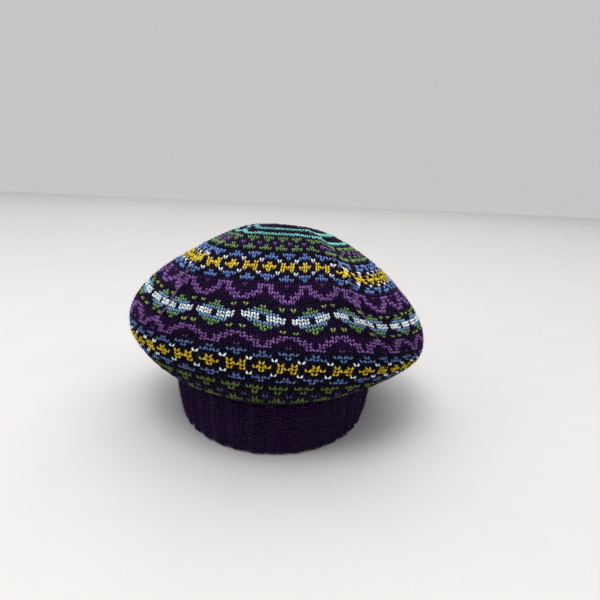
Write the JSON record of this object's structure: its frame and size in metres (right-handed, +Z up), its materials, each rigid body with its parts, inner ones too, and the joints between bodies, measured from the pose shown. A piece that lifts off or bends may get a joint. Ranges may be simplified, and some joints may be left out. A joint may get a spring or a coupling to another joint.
{
  "type": "tam o shanter",
  "caption": "Knitted tam o' shanter: a ribbed head band under a hollow, flared crown of wedge sectors with stranded colour bands, resting on its rim.",
  "frame": {"origin": "middle of the hat's outline, in the plane of its rim", "axes": "+Z up through the crown, +X to the right and +Y away for someone who looks at the back of the hat"},
  "size_m": [0.241, 0.2414, 0.1522],
  "materials": {
    "wool_band": "ribbed wool knitting with a light halo of fibre",
    "wool_crown": "stranded stocking-stitch wool in many colours on a dark ground"
  },
  "bodies": {
    "root": {"ribbed_band": "wool_band", "crown": "wool_crown"}
  },
  "joints": []
}
